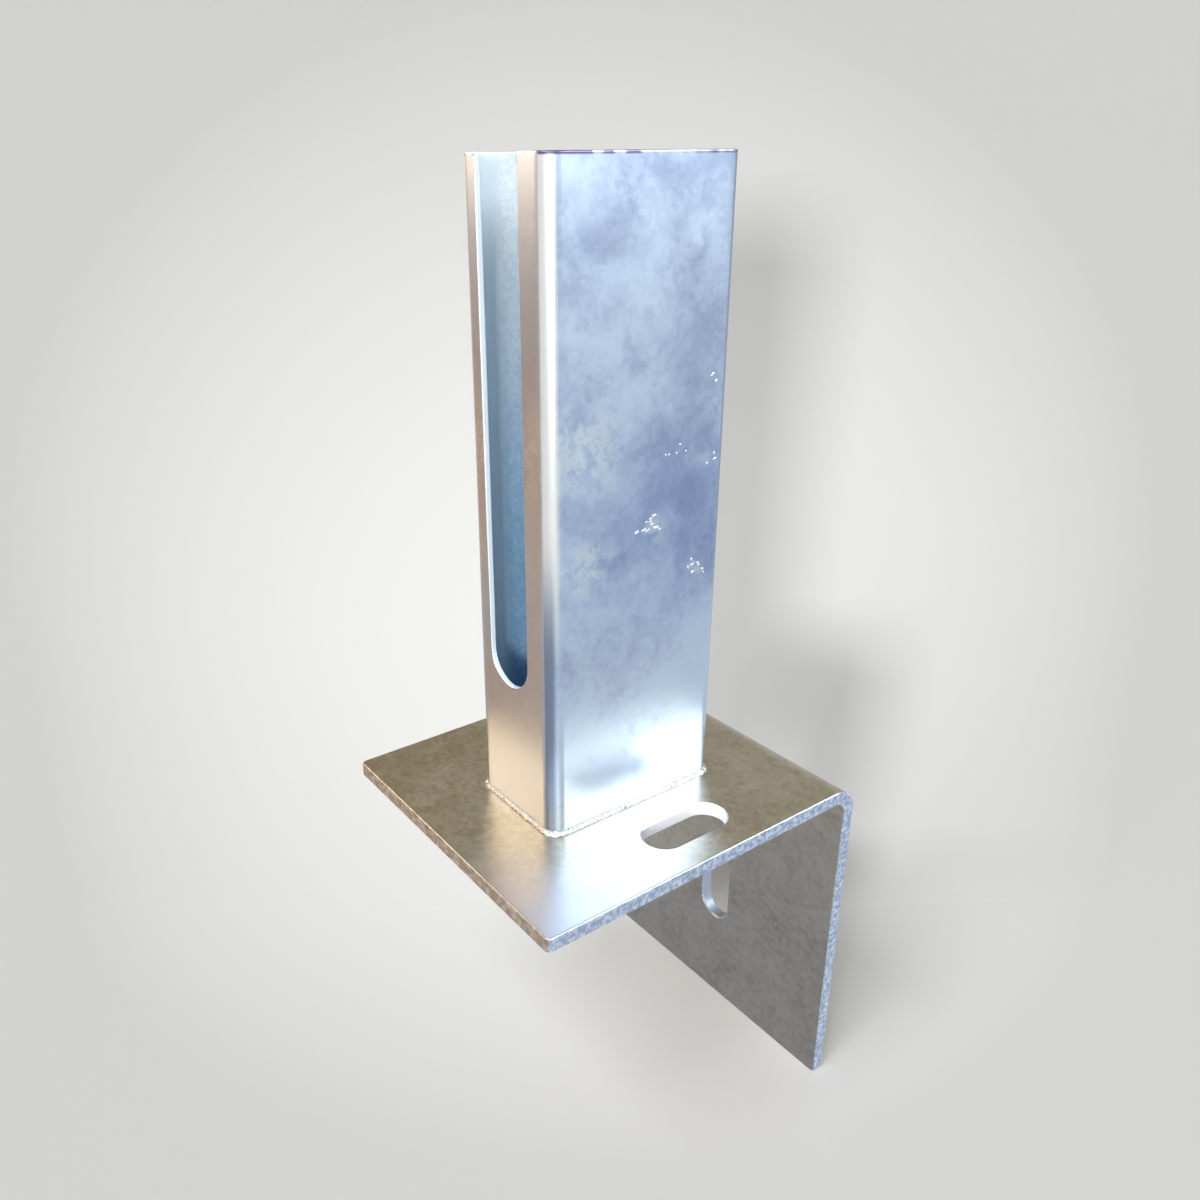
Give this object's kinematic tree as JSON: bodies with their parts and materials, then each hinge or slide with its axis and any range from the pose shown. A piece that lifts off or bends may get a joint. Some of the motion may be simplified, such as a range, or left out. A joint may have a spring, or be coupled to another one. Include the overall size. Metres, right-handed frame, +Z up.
{
  "type": "angled post base plate",
  "caption": "Galvanised steel angle bracket that sits over the edge of a slab or wall, with a slotted upright sleeve for a fence post and slots for anchors.",
  "frame": {"origin": "on the underside of the seat leg, below the sleeve's axis", "axes": "+Z up along the sleeve, +X towards the hanging flange, +Y along the bend"},
  "size_m": [0.13, 0.115, 0.33],
  "materials": {
    "galvanised_plate": "hot-dip galvanised, satin, clouded",
    "galvanised_sleeve": "hot-dip galvanised, bright, clouded",
    "galvanised_weld": "hot-dip galvanised over a fillet weld"
  },
  "bodies": {
    "root": {"angle_base_plate": "galvanised_plate", "post_sleeve": "galvanised_sleeve", "weld_seam": "galvanised_weld"}
  },
  "joints": []
}
